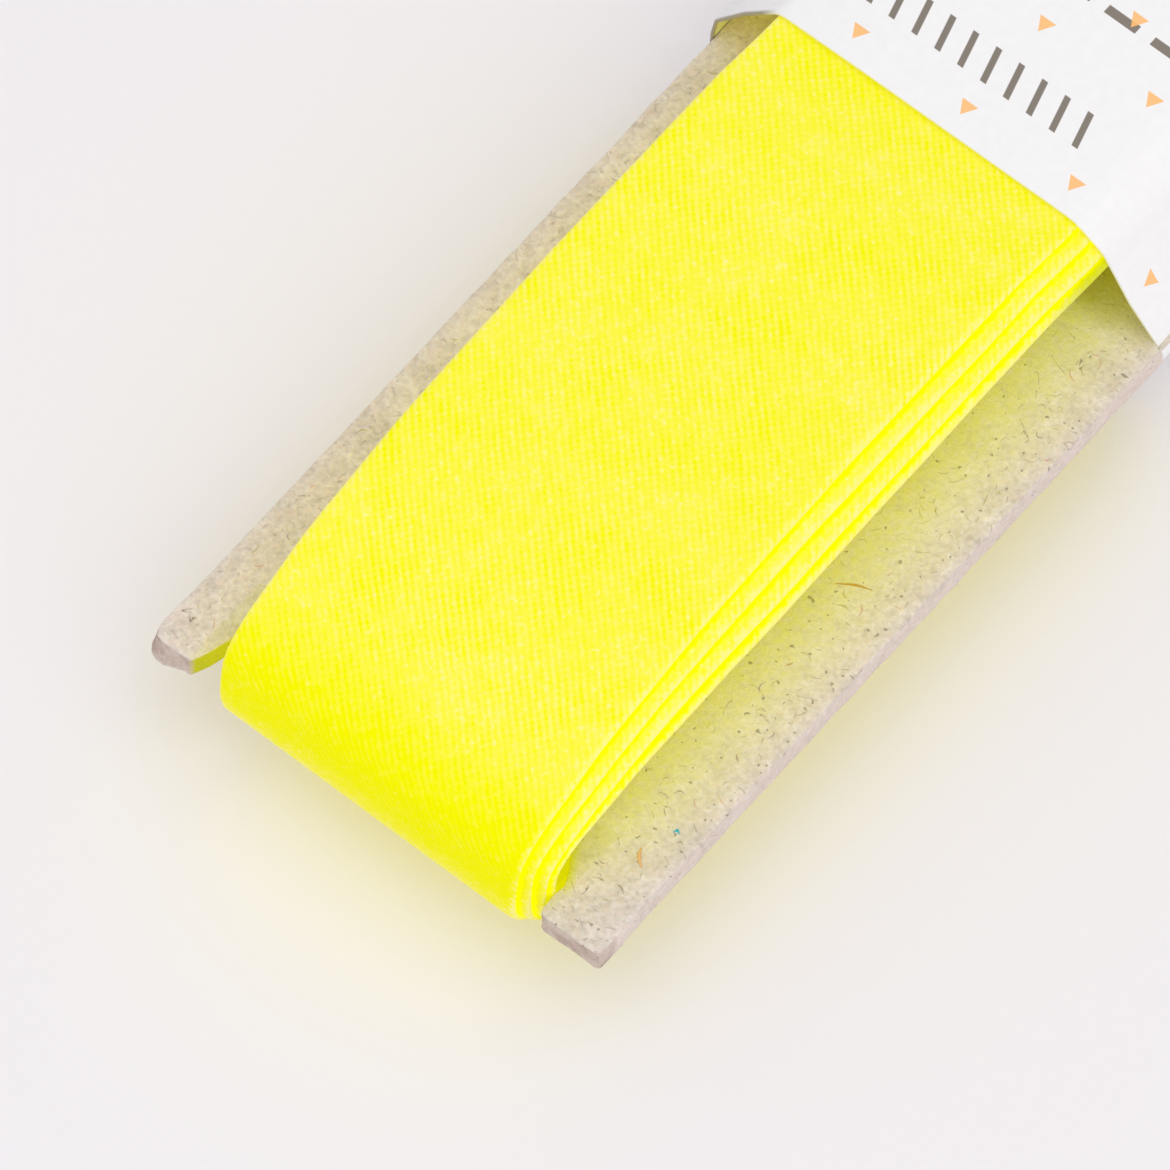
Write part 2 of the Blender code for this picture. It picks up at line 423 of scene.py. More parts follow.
def cotton_tape():
    """Plain-woven cotton cut on the bias and dyed fluorescent yellow.

    The eye sees threads at about 45 degrees to the tape, the warp more than the weft, with pale
    crowns and deep yellow pits of painted shade, here and there a thicker stretch of thread, and
    paler cloth where it is creased, partly worn dye and partly a painted sheen. A steady painted
    glow stands in for the dye's fluorescence, so that hollows stay yellow and not dark. Painted
    shade deepens the round ends, the cloth under a covering edge, the deep turns, the hollows, the
    notch and the cloth beside the band; painted light pales the cloth below the board's middle.
    """
    finish, shader, node = new_material("fluorescent_yellow_cotton_plain_weave", "#C9C920", 0.85)
    # Painted glow: a steady emission that stands in for the dye's fluorescence and keeps hollows lit
    # yellow.
    set_inputs(shader, {
        "Emission Color": linear("#FFF700"),
        "Emission Strength": 0.4,
        "Sheen Weight": 0.03,
        "Sheen Roughness": 0.4,
        "Sheen Tint": linear("#FFFFE8"),
        "Specular IOR Level": 0.03,
    })

    # Threads, a little bent
    cloth = node("UVMap", uv_map="cloth")
    bent = cloth
    for scale, amount in THREAD_WANDER:
        wander = node("TexNoise", {"Vector": cloth, "Scale": scale, "Detail": 1.0}, output="Color")
        bent = node("VectorMath", (wander, (amount, amount, 0.0), bent), operation="MULTIPLY_ADD")
    warp = lay_threads(node, bent, ACROSS_WARP, WARP_PITCH)
    weft = lay_threads(node, bent, ACROSS_WEFT, WEFT_PITCH)
    warp_thread = node("Math", (warp.count,), operation="FLOOR")
    weft_thread = node("Math", (weft.count,), operation="FLOOR")
    warp_slub = thread_streaks(node, warp_thread, weft.count, (7.31, 0.3), 2.0)
    weft_slub = thread_streaks(node, warp.count, weft_thread, (0.3, 5.17), 2.0)
    fibre = node("TexNoise", {"Vector": cloth, "Scale": 3400.0, "Detail": 1.0})
    fleck = node("MapRange", (fibre, 0.62, 0.78, 0.0, 1.0), **EASED)
    cloud = node("TexNoise", {"Vector": cloth, "Scale": 120.0, "Detail": 2.0})

    # Places on the folded tape: its creases, and what the next turn outwards covers
    across = node("SeparateXYZ", (cloth,), output="X")
    from_middle = node("Math", (across,), operation="ABSOLUTE")
    waver = node("TexNoise", {"Vector": cloth, "Scale": 2100.0, "Detail": 1.0})
    waver = node("MapRange", (waver, 0.0, 1.0, -EDGE_WAVER, EDGE_WAVER))
    from_fold = node("Math", (from_middle, FOLD_AT), operation="SUBTRACT")
    from_fold = node("Math", (from_fold, waver), operation="ADD")
    from_fold = node("Math", (from_fold,), operation="ABSOLUTE")
    # Creases are drawn paler: partly worn dye on the crests and partly a painted sheen highlight.
    crease = node("MapRange", (from_fold, 0.12 * MM, 0.62 * MM, 1.0, 0.0), **EASED)
    edge_above = node("Attribute", output="Fac", attribute_name="edge_above")
    beyond = node("Math", (across, edge_above), operation="SUBTRACT")
    beyond = node("Math", (beyond, waver), operation="ADD")
    # Painted shade: the cloth is drawn deeper where the next turn outwards covers it, near that edge.
    covered = node("MapRange", (beyond, -0.05 * MM, 0.3 * MM, 1.0, 0.0), **EASED)
    tucked = node("MapRange", (from_middle, FOLD_AT - 0.1 * MM, FOLD_AT + 0.2 * MM, 0.0, 1.0), **EASED)

    # Places on the roll: its round ends, its underside and the notch
    place = node("TexCoord", output="Object")
    x, y, z = [node("SeparateXYZ", (place,), output=axis) for axis in "XYZ"]
    along = node("Math", (y,), operation="ABSOLUTE")
    rounded = node("MapRange", (along, 62.5 * MM, 67.1 * MM, 0.0, 1.0), **EASED)
    # Painted light: cloth below the board's middle is drawn paler, as if lit from the table below.
    lit_below = node("MapRange", (z, BOARD_MIDDLE - 2.0 * MM, BOARD_MIDDLE + 1.3 * MM, 1.0, 0.0), **EASED)
    # Painted shadow of the paper band on the cloth beside it.
    cloth_band_shadow = node("MapRange", (along, 21.5 * MM, 25.0 * MM, 0.8, 0.0))
    in_notch = node("MapRange", (along, 60.0 * MM, 63.0 * MM, 1.0, 1.15))
    # Painted shade in the notch, on the right side of the cloth below the board.
    notch_across = node("MapRange", (x, 9.0 * MM, 9.3 * MM, 0.0, 0.9))
    notch_below = node("MapRange", (z, BOARD_MIDDLE + 0.3 * MM, BOARD_MIDDLE + 0.9 * MM, 1.0, 0.0))
    notch_along = between(node, along, 61.5 * MM, 66.3 * MM, 0.25 * MM)

    # Shade, from deep yellow pits to pale crowns, as a sum of patterns and of painted light and shade
    uneven_weft = node("Math", (weft_slub, 0.5), operation="SUBTRACT")
    weft_shows = node("Math", (rounded, 0.52, 0.3), operation="MULTIPLY_ADD")
    # Painted shade at the round ends: the cloth is drawn deeper yellow there, less on the creases.
    uncreased = node("Math", (crease, -0.8, 1.0), operation="MULTIPLY_ADD")
    end_painted_shade = node("Math", (rounded, uncreased), operation="MULTIPLY")
    # Painted shade in the pits between the threads, weaker on the lower turns.
    lower_turn = node("Math", (edge_above, 0.0), operation="GREATER_THAN")
    pit_shows = node("Math", (lower_turn, -0.45, 1.0), operation="MULTIPLY_ADD")
    pit = node("Math", (weave_pits(node, cloth, warp, weft), pit_shows), operation="MULTIPLY")
    shade = SHADE_START
    for pattern, amount in (
        (warp_slub, 0.5),
        (uneven_weft, weft_shows),
        (fibre, 0.5),
        (fleck, 0.34),
        (cloud, 0.26),
        (crease, 0.38),
        (end_painted_shade, -0.52),
        (lit_below, 0.75),
        (covered, -0.7),
        (pit, -0.41),
    ):
        shade = node("Math", (pattern, amount, shade), operation="MULTIPLY_ADD")
    colour = node("ValToRGB", (shade,))
    set_stops(colour, CLOTH_STOPS)

    # Painted shade on the cloth: deep turns on the right, tucked folds, beside the band and in the notch
    right = node("Math", (across, 0.0), operation="GREATER_THAN")
    left = node("Math", (across, 0.0), operation="LESS_THAN")
    # Painted shade on the deep turns on the right: darker olive, stronger in the notch.
    deep_turn = node("MapRange", (edge_above, 10.4 * MM, 11.2 * MM, 0.0, 0.8))
    deep_turn_painted_shade = node("Math", (deep_turn, in_notch), operation="MULTIPLY")
    deep_turn_painted_shade = node("Math", (deep_turn_painted_shade, right), operation="MULTIPLY")
    outside_deep_turn_shade = node("Math", (1.0, deep_turn_painted_shade), operation="SUBTRACT")
    # Painted shade in hollows: deep yellow on tucked folds, and less strongly under a covering edge.
    half_covered = node("Math", (covered, 0.42), operation="MULTIPLY")
    hollow_painted_shade = node("Math", (tucked, half_covered), operation="MAXIMUM")
    right_edge = node("MapRange", (across, 9.4 * MM, 9.9 * MM, 0.0, 1.0))
    unstepped = node("Math", (edge_above, 9.5 * MM), operation="GREATER_THAN")
    colour = lay_tints(node, colour, [
        ("#97A000", deep_turn_painted_shade),
        ("#FBF600", hollow_painted_shade, outside_deep_turn_shade),
        ("#57503A", cloth_band_shadow, tucked, left),
        ("#8A9A00", cloth_band_shadow, right_edge, unstepped),
        ("#BDC000", notch_across, notch_below, notch_along),
    ])

    height = weave_height(node, warp, weft)
    for pattern, amount in ((warp_slub, 0.4), (fibre, 0.3)):
        height = node("Math", (pattern, amount, height), operation="MULTIPLY_ADD")
    bump = node("Bump", {"Height": height, "Distance": THREAD_RELIEF, "Strength": 0.4})
    set_inputs(shader, {"Base Color": colour, "Normal": bump})
    return finish


# Finish of the board

PULP_RELIEF = 0.18 * MM
PULP_NOISES = {
    "mottle": {"Scale": 700.0, "Detail": 4.0, "Roughness": 0.65},
    "grain": {"Scale": 3600.0, "Detail": 2.0},
    "squiggle": {"Scale": 620.0, "Detail": 0.0, "Distortion": 0.5},
    "patch": {"Scale": 1500.0, "Detail": 0.0},
    "blot": {"Scale": 2300.0, "Detail": 1.0},
    "speck": {"Scale": 3300.0, "Detail": 0.0},
}
BOARD_STOPS = [(0.5, "#C5B9AD"), (1.0, "#EBE1D8")]


def greyboard():
    """Greyboard, pressed from recycled pulp and die cut.

    Matt and slightly rough, warm grey, mottled, with fine dark fibres and specks in the surface.
    Beside the tape, on the notch wall and beside the notch, painted yellow stands in for the light
    that the dyed cloth throws on it, and a painted shadow lies beside the band.
    """
    finish, shader, node = new_material("greyboard_pressed_recycled_pulp", "#DDD3C9", 0.92)
    set_inputs(shader, {"Specular IOR Level": 0.3})
    place = node("TexCoord", output="Object")
    pulp = {name: node("TexNoise", {"Vector": place, **rest}) for name, rest in PULP_NOISES.items()}

    # Pulp and its fibres
    tone = node("Math", (pulp["mottle"], 0.75), operation="MULTIPLY")
    tone = node("Math", (pulp["grain"], 0.75, tone), operation="MULTIPLY_ADD")
    colour = node("ValToRGB", (tone,))
    set_stops(colour, BOARD_STOPS)
    from_line = node("Math", (pulp["squiggle"], 0.5), operation="SUBTRACT")
    from_line = node("Math", (from_line,), operation="ABSOLUTE")
    fibre = node("MapRange", (from_line, 0.0, 0.016, 1.0, 0.0), **EASED)
    hairy = node("MapRange", (pulp["patch"], 0.57, 0.65, 0.0, 1.0), **EASED)
    hair = node("Math", (fibre, hairy), operation="MULTIPLY")
    speck = node("MapRange", (pulp["speck"], 0.78, 0.815, 0.0, 0.55), **EASED)
    blotched = node("MapRange", (pulp["blot"], 0.45, 0.72, 0.0, 0.45), **EASED)
    worn = node("MapRange", (pulp["mottle"], 0.42, 0.62, 0.35, 0.95))
    blot_swing = node("Math", (pulp["blot"], 0.5), operation="SUBTRACT")
    patchy = node("Math", (blot_swing, 1.3, 0.9), operation="MULTIPLY_ADD")

    # Places on the board
    x, y, z = [node("SeparateXYZ", (place,), output=axis) for axis in "XYZ"]
    along = node("Math", (y,), operation="ABSOLUTE")
    on_right = node("Math", (x, 0.0), operation="GREATER_THAN")
    sharp = node("Math", (on_right, 0.5, 0.5), operation="MULTIPLY_ADD")
    cut_low = BOARD_TOP - BOARD_THICKNESS + 0.12 * MM
    cut_face = between(node, z, cut_low, BOARD_TOP - 0.12 * MM, 0.05 * MM)
    end_face = between(node, along, 66.1 * MM, 70.0 * MM, 0.3 * MM)
    # Painted reflection and shade on the notch wall: olive yellow from the cloth beside it.
    wall_along = between(node, along, 61.0 * MM, 66.9 * MM, 0.15 * MM)
    wall_across = between(node, x, -12.85 * MM, 11.5 * MM, 0.1 * MM)
    wall_shows = node("Math", (cut_face, 0.76, 0.2), operation="MULTIPLY_ADD")
    # Painted reflection: yellow light that the cloth throws on the board beside the tape, patchy and
    # weaker at the tip.
    painted_tape_reflection = node("MapRange", (x, 10.2 * MM, 15.2 * MM, 0.78, 0.0))
    reflection_fades_at_tip = node("MapRange", (along, 60.0 * MM, 64.5 * MM, 1.0, 0.25))
    # Painted shadow of the paper band on the board beside the tape.
    board_band_shadow = node("MapRange", (along, 19.6 * MM, 21.6 * MM, 0.75, 0.0), **EASED)
    under_tape = node("MapRange", (x, 10.0 * MM, 15.0 * MM, 1.0, 0.1))
    # Painted reflection: deep yellow on the board top beside the notch, where the cloth lights it.
    from_notch = node("Math", (x, 0.86, 22.96 * MM), operation="MULTIPLY_ADD")
    from_notch = node("Math", (along, -0.5, from_notch), operation="MULTIPLY_ADD")
    beside_notch = node("MapRange", (from_notch, 0.05 * MM, 0.55 * MM, 0.9, 0.0))
    notch_side = between(node, along, 60.8 * MM, 65.2 * MM, 0.5 * MM)

    colour = lay_tints(node, colour, [
        ("#E3CDC2", blotched),
        ("#93836F", hair, 0.36, sharp),
        ("#DDDA84", painted_tape_reflection, on_right, reflection_fades_at_tip, patchy),
        ("#5F5B48", speck, sharp),
        ("#A8A21C", board_band_shadow, under_tape, on_right),
        ("#F8E4DA", cut_face, 0.35),
        ("#B49E91", cut_face, end_face, worn),
        ("#BFC300", wall_along, wall_across, wall_shows),
        ("#D2D400", beside_notch, on_right, notch_side),
    ])

    height = node("Math", (pulp["grain"], 0.5, pulp["mottle"]), operation="MULTIPLY_ADD")
    height = node("Math", (hair, 0.2, height), operation="MULTIPLY_ADD")
    bump = node("Bump", {"Height": height, "Distance": PULP_RELIEF, "Strength": 0.8})
    set_inputs(shader, {"Base Color": colour, "Normal": bump})
    return finish


# Finish of the label

PRINT_MIDDLE = 10.85 * MM  # from the left side of the printed face
PRINT_HALF_WIDTH = 7.75 * MM
INK_SOFTNESS = 0.03 * MM
# Rows of marks in millimetres: pitch, half width, distance from the near edge, half height
SLANTED_BARS = (1.55, 0.2, 4.6, 1.1)
DASHES = (3.1, 1.05, 11.2, 0.28)
BAR_SLANT = 0.28
TRIANGLE_PITCH = 7.3 * MM
TRIANGLE_ROW = 3.3 * MM
TRIANGLE_HALF_HEIGHT = 0.45 * MM
TRIANGLE_SLOPE = 1.7
# No triangles in the row of the bars: its middle and half height
BAR_ROW_MIDDLE = 4.9 * MM
BAR_ROW_HALF = 1.7 * MM
PAPER_RELIEF = 0.03 * MM


def ink_mask(node, value, centre, half):
    """1 within half of centre, with an edge as soft as ink in paper."""
    distance = node("Math", (value, centre), operation="SUBTRACT")
    distance = node("Math", (distance,), operation="ABSOLUTE")
    span = (half - INK_SOFTNESS, half + INK_SOFTNESS, 1.0, 0.0)
    return node("MapRange", (distance, *span), **EASED)


def repeated(node, value, pitch):
    """Distance from the middle of a repeat, in metres."""
    count = node("Math", (value, pitch), operation="DIVIDE")
    share = node("Math", (count,), operation="FRACT")
    from_middle = node("Math", (share, 0.5), operation="SUBTRACT")
    return node("Math", (from_middle, pitch), operation="MULTIPLY")


def row_of_marks(node, along, up, row):
    """Ink of one row of marks, cut off at both ends of the printed width."""
    pitch, half_width, middle, half_height = [size * MM for size in row]
    ink = ink_mask(node, repeated(node, along, pitch), 0.0, half_width)
    for value, centre, half in ((up, middle, half_height), (along, PRINT_MIDDLE, PRINT_HALF_WIDTH)):
        ink = node("Math", (ink, ink_mask(node, value, centre, half)), operation="MULTIPLY")
    return ink


def triangles(node, u, v):
    """Small triangles in rows, each row shifted by half a pitch."""
    row = node("Math", (v, TRIANGLE_ROW), operation="DIVIDE")
    row = node("Math", (row,), operation="FLOOR")
    shifted = node("Math", (row, TRIANGLE_PITCH / 2, u), operation="MULTIPLY_ADD")
    cell_u = repeated(node, shifted, TRIANGLE_PITCH)
    cell_v = repeated(node, v, TRIANGLE_ROW)
    sideways = node("Math", (cell_u,), operation="ABSOLUTE")
    raised = node("Math", (cell_v, TRIANGLE_HALF_HEIGHT), operation="ADD")
    inside = node("Math", (sideways, -TRIANGLE_SLOPE, raised), operation="MULTIPLY_ADD")
    inside = node("Math", (inside, 0.0), operation="GREATER_THAN")
    below = node("Math", (cell_v, TRIANGLE_HALF_HEIGHT), operation="LESS_THAN")
    return node("Math", (inside, below), operation="MULTIPLY")


def label_paper():
    """Uncoated white label paper, printed in brown-grey and orange.

    Matt white, faintly fibrous. The print is a plain row of slanted bars, a row of dashes and
    small triangles. On the left, where the paper leans over the board, its rim is painted darker
    as shade.
    """
    finish, shader, node = new_material("uncoated_white_label_paper_printed", "#F4F3F3", 0.6)
    set_inputs(shader, {"Specular IOR Level": 0.4})
    paper = node("UVMap", uv_map="paper")
    u, v = [node("SeparateXYZ", (paper,), output=axis) for axis in "XY"]
    pulp = node("TexNoise", {"Vector": paper, "Scale": 1500.0, "Detail": 3.0})

    slanted = node("Math", (v, BAR_SLANT, u), operation="MULTIPLY_ADD")
    bars = row_of_marks(node, slanted, v, SLANTED_BARS)
    dashes = row_of_marks(node, u, v, DASHES)
    ink = node("Math", (bars, dashes), operation="MAXIMUM")
    bar_row = ink_mask(node, v, BAR_ROW_MIDDLE, BAR_ROW_HALF)
    beside_bars = node("Math", (1.0, bar_row), operation="SUBTRACT")

    place = node("TexCoord", output="Object")
    x, y = [node("SeparateXYZ", (place,), output=axis) for axis in "XY"]
    along = node("Math", (y,), operation="ABSOLUTE")
    # Painted shade on the paper's rim at the left, where it leans over the board.
    painted_rim_shade = node("MapRange", (along, 19.75 * MM, 19.95 * MM, 0.0, 0.85))
    on_left = node("MapRange", (x, -12.0 * MM, -11.0 * MM, 1.0, 0.0))

    colour = lay_tints(node, linear("#F0EFEF"), [
        ("#F8F7F7", pulp),
        ("#6F6354", ink, 0.9),
        ("#FFBE6E", triangles(node, u, v), beside_bars, 0.9),
        ("#8E8470", painted_rim_shade, on_left),
    ])
    bump = node("Bump", {"Height": pulp, "Distance": PAPER_RELIEF, "Strength": 0.5})
    set_inputs(shader, {"Base Color": colour, "Normal": bump})
    return finish


# Tape, a folded strip wound round the board

def smooth(share):
    """Eases from 0 to 1."""
    share = np.clip(share, 0.0, 1.0)
    return share * share * (3 - 2 * share)


def wander(lengths, strength, wavelength, seed):
    """A slow wander along a length; strength and wavelength are in millimetres."""
    phase = random.Random(seed).uniform(0.0, 100.0)
    turns = lengths / (wavelength * MM) * 2 * math.pi + phase
    waves = 0.5 * np.sin(turns) + 0.3 * np.sin(turns * 1.7 + 1.3) + 0.2 * np.sin(turns * 2.9 + 0.4)
    return strength * MM * waves


def lengths_along(points):
    """Length from the first point to each point of a line."""
    gaps = np.hypot(*np.diff(points, axis=0).T)
    return np.concatenate([[0.0], np.cumsum(gaps)])


def smooth_curve(at, rows, wanted):
    """Reads a curve through rows of values, which lie at the lengths in at."""
    slopes = np.gradient(rows, at, axis=0)
    index = np.clip(np.searchsorted(at, wanted, side="right") - 1, 0, len(at) - 2)
    span = (at[index + 1] - at[index])[:, None]
    t = (wanted - at[index])[:, None] / span
    curve = (2 * t ** 3 - 3 * t ** 2 + 1) * rows[index]
    curve += (t ** 3 - 2 * t ** 2 + t) * span * slopes[index]
    curve += (3 * t ** 2 - 2 * t ** 3) * rows[index + 1]
    curve += (t ** 3 - t ** 2) * span * slopes[index + 1]
    return curve


def winding_quarter(table):
    """Points from the near tip to the middle: rows of outside and slot, in metres."""
    at = lengths_along(table[:, :2])
    wanted = [0.0]
    for until, step in WINDING_STEPS:
        while wanted[-1] + step * MM < min(until * MM, at[-1] - step * MM / 2):
            wanted.append(wanted[-1] + step * MM)
    wanted.append(at[-1])
    return smooth_curve(at, table, np.array(wanted))


def winding_loop():
    """One turn from the middle of the underside, round the near tip, over the top and back."""
    table = np.array(WINDING) * MM
    below = table.copy()
    below[:len(UNDER_INSET), 0] += np.array(UNDER_INSET) * MM
    board_end = np.array([BOARD_LENGTH / 2, 0.0, BOARD_LENGTH / 2, 0.0])
    over = winding_quarter(table) - board_end
    under = (winding_quarter(below) - board_end) * np.array([1.0, -UNDER_SHARE, 1.0, -1.0])
    near = np.concatenate([under[::-1], over[1:]])
    far = near[::-1] * np.array([-1.0, 1.0, -1.0, 1.0])
    return np.concatenate([near, far[1:]])


def tape_path():
    """The tape from its inner end to its outer one: rows of level, outside, slot, length so far.

    The level counts the turns from the inside. It grows on the underside, where one turn passes
    to the next.
    """
    loop = winding_loop()
    lengths = lengths_along(loop[:, :2])
    left_over = lengths[-1] - lengths
    crossing = (smooth(lengths / CROSSING) - smooth(left_over / CROSSING)) / 2
    start = int(np.argmax(np.minimum(lengths, left_over) > CROSSING))
    rows = []
    travelled = 0.0
    for turn in range(TURN_COUNT):
        first = start if turn == 0 else 0
        after_last = len(loop) - start if turn == TURN_COUNT - 1 else len(loop) - 1
        stations = loop[first:after_last]
        level = np.clip(turn + 1 + crossing[first:after_last], 1.0, TURN_COUNT)
        outside = stations[:, :2]
        slot = stations[:, 2:]
        middle = slot + (outside - slot) * level[:, None] / TURN_COUNT
        along = travelled + lengths_along(middle)
        rows.append(np.column_stack([level, stations, along]))
        travelled = along[-1] + TURN_STEP
    return np.concatenate(rows)


def fold_section():
    """Outline across one turn: place across, and depth from its face (0) to its flaps (1)."""
    inner = TAPE_WIDTH / 2 - FOLD_ROUND
    left = [(-x * MM, 1.0) for x in FLAP_POINTS] + [(-inner, 1.0)]
    for degrees in FOLD_BEND:
        angle = math.radians(degrees)
        left.append((-inner - FOLD_ROUND * math.sin(angle), 0.5 + 0.5 * math.cos(angle)))
    left.append((-inner, 0.0))
    left += [(-x * MM, 0.0) for x in FACE_POINTS]
    right = [(-x, depth) for x, depth in left[-2::-1]]
    return np.array(left + right)


def turn_shift(levels, spread):
    """How far turns are shifted to the right; spread is 0 at the board's ends and 1 along it."""
    numbers = np.arange(1, TURN_COUNT + 1)
    shifts = np.array(TURN_SHIFTS)[::-1] * MM
    at_end = np.interp(levels, numbers, shifts[:, 1])
    return at_end + (np.interp(levels, numbers, shifts[:, 0]) - at_end) * spread


def tape_mesh(points, width, along, edge_above):
    """Mesh of the strip, with the cloth's own map in metres and the edge that covers each turn."""
    stations, sides = points.shape[:2]
    faces = []
    for i in range(stations - 1):
        for j in range(sides - 1):
            a = i * sides + j
            faces.append((a, a + 1, a + sides + 1, a + sides))
    mesh = bpy.data.meshes.new("wound_bias_tape")
    mesh.from_pydata(points.reshape(-1, 3).tolist(), [], faces)
    layer = mesh.uv_layers.new(name="cloth")
    corners = np.empty(len(mesh.loops), dtype=np.int32)
    mesh.loops.foreach_get("vertex_index", corners)
    places = np.stack([width[corners % sides], along[corners // sides]], axis=1)
    layer.data.foreach_set("uv", places.astype(np.float32).ravel())
    covering = mesh.attributes.new("edge_above", "FLOAT", "POINT")
    covering.data.foreach_set("value", np.repeat(edge_above, sides).astype(np.float32))
    mesh.shade_smooth()
    return mesh


def make_tape():
    path = tape_path()
    levels = path[:, 0]
    outside = path[:, 1:3]
    slot = path[:, 3:5]
    along = path[:, 5]
    across, depth = fold_section().T

    # Where each turn lies to the side
    from_end = BOARD_LENGTH / 2 - np.abs(outside[:, 0])
    spread = np.clip(from_end / SHIFT_GROWS_UNTIL, 0.0, 1.0)
    sideways = turn_shift(levels, spread)
    drift_length = BOARD_LENGTH / 2 - DRIFT_FROM
    near_end = np.clip((-outside[:, 0] - DRIFT_FROM) / drift_length, 0.0, 1.0)
    sideways += DRIFT * (near_end - 0.5)
    for wave in EDGE_WANDER:
        sideways += wander(along, *wave)

    # Points of the strip, one row of the section a station
    share = (levels[:, None] - depth[None, :] * TURN_DEPTH) / TURN_COUNT
    x = TAPE_CENTRE + sideways[:, None] + across[None, :]
    y = slot[:, None, 0] + (outside - slot)[:, None, 0] * share
    z = slot[:, None, 1] + (outside - slot)[:, None, 1] * share
    right = across[None, :] / TAPE_WIDTH + 0.5
    top = np.clip(outside[:, 1] / LEAN_GROWS_UNTIL, 0.0, 1.0)
    z -= LEAN * top[:, None] * share * right
    tip = np.clip(1 - from_end / TIP_LENGTH, 0.0, 1.0) * (outside[:, 0] < 0)
    y -= TIP_SLANT * tip[:, None] * share * (2 * right - 1)
    ripple = wander(along[:, None] + across[None, :] * RIPPLE_SLANT, *FACE_RIPPLE)
    outwards = np.sign(outside[:, 1]) * (np.abs(outside[:, 1]) > RIPPLE_ABOVE)
    z += ripple * outwards[:, None] * (1 - depth[None, :])
    points = np.stack(np.broadcast_arrays(x, y, z + BOARD_MIDDLE), axis=2)

    # The cloth's width at each point, from the strip's middle
    width = lengths_along(np.column_stack([across, depth * FOLD_HEIGHT]))
    width -= width[-1] / 2

    # Where the edge of the next turn outwards lies on each turn
    step_out = turn_shift(levels, spread) - turn_shift(levels + 1, spread)
    edge_above = np.where(levels > TURN_COUNT - 0.5, NOTHING_ABOVE, TAPE_WIDTH / 2 - step_out)
    edge_above[levels < INNER_TURNS + 0.5] = ALL_COVERED

    tape = bpy.data.objects.new("wound_bias_tape", tape_mesh(points, width, along, edge_above))
    bpy.context.scene.collection.objects.link(tape)
    cloth = tape.modifiers.new("cloth", "SOLIDIFY")
    cloth.thickness = CLOTH_THICKNESS
    cloth.offset = -1.0
    tape.data.materials.append(cotton_tape())
    apply_modifiers(tape)
    return tape


# Board

def extrude_prong(board, rows, end):
    """Draws one prong out of the board's end, row by row of the table."""
    places = []
    for from_end, left, right in rows:
        centre = BOARD_LEFT + (left + right) / 2 * MM
        places.append((centre, end * (BOARD_LENGTH / 2 - from_end * MM), (right - left) * MM))
    root_x, root_y, root_width = places[0]
    near = 0.01 * MM
    pick_edges(board, lambda m: abs(m.y - root_y) < near and abs(m.x - root_x) < root_width / 2)
    for (old_x, old_y, old_width), (x, y, width) in zip(places, places[1:]):
        move = {"value": (x - old_x, y - old_y, 0.0)}
        bpy.ops.mesh.extrude_region_move(TRANSFORM_OT_translate=move)
        growth = (width / old_width, 1.0, 1.0)
        bpy.ops.transform.resize(value=growth, center_override=(x, y, BOARD_TOP))


def knock_tip(board):
    """In edit mode, pushes the lower layers of the near left prong's tip outwards."""
    bpy.ops.mesh.select_mode(type="VERT")
    corner_x, corner_y = KNOCKED_CORNER
    for depth, move in KNOCKED_LAYERS:
        bpy.ops.mesh.select_all(action="DESELECT")
        mesh = bmesh.from_edit_mesh(board.data)
        for vertex in mesh.verts:
            lower = vertex.co.z < BOARD_TOP - depth * BOARD_THICKNESS
            if lower and vertex.co.x < corner_x and vertex.co.y < corner_y:
                vertex.select_set(True)
        mesh.select_flush_mode()
        bmesh.update_edit_mesh(board.data)
        bpy.ops.transform.translate(value=tuple(value * MM for value in move))


def make_board():
    notch = BOARD_LENGTH / 2 - LEFT_PRONG[0][0] * MM
    left = BOARD_LEFT + LEFT_PRONG[0][1] * MM
    right = BOARD_LEFT + RIGHT_PRONG[0][2] * MM
    bpy.ops.object.select_all(action="DESELECT")
    bpy.ops.mesh.primitive_plane_add(size=1.0, location=((left + right) / 2, 0.0, BOARD_TOP))
    board = bpy.context.object
    board.name = "notched_greyboard"
    board.scale = (right - left, 2 * notch, 1.0)
    settle_place(board)
    bpy.ops.object.mode_set(mode="EDIT")
    for prong_side in (LEFT_PRONG[0][2], RIGHT_PRONG[0][1]):
        cut_all((BOARD_LEFT + prong_side * MM, 0.0, 0.0), (1.0, 0.0, 0.0))
    for end in (-1, 1):
        extrude_prong(board, LEFT_PRONG, end)
        extrude_prong(board, RIGHT_PRONG, end)
    for i in range(1, int(BOARD_LENGTH / BOARD_CELL)):
        cut_all((0.0, -BOARD_LENGTH / 2 + i * BOARD_CELL, 0.0), (0.0, 1.0, 0.0))
    for i in range(1, int((right - left) / BOARD_CELL) + 1):
        cut_all((left + i * BOARD_CELL, 0.0, 0.0), (1.0, 0.0, 0.0))
    bpy.ops.mesh.select_all(action="SELECT")
    bpy.ops.mesh.extrude_region_move(TRANSFORM_OT_translate={"value": (0.0, 0.0, -BOARD_THICKNESS)})
    for share in BOARD_LAYERS:
        cut_all((0.0, 0.0, BOARD_TOP - BOARD_THICKNESS * share), (0.0, 0.0, 1.0))
    knock_tip(board)
    bpy.ops.mesh.select_all(action="SELECT")
    bpy.ops.mesh.normals_make_consistent(inside=False)
    bpy.ops.object.mode_set(mode="OBJECT")
    edge = board.modifiers.new("worn_edges", "BEVEL")
    edge.width = BOARD_EDGE_ROUND
    edge.segments = 2
    edge.limit_method = "ANGLE"
    edge.angle_limit = BOARD_EDGE_ANGLE
    make_uneven(board, "pulp", PULP_GRAIN, PULP_DEPTH)
    apply_modifiers(board)
    bpy.ops.object.shade_smooth_by_angle(angle=BOARD_SMOOTH_ANGLE)
    board.data.materials.append(greyboard())
    return board


# Paper band

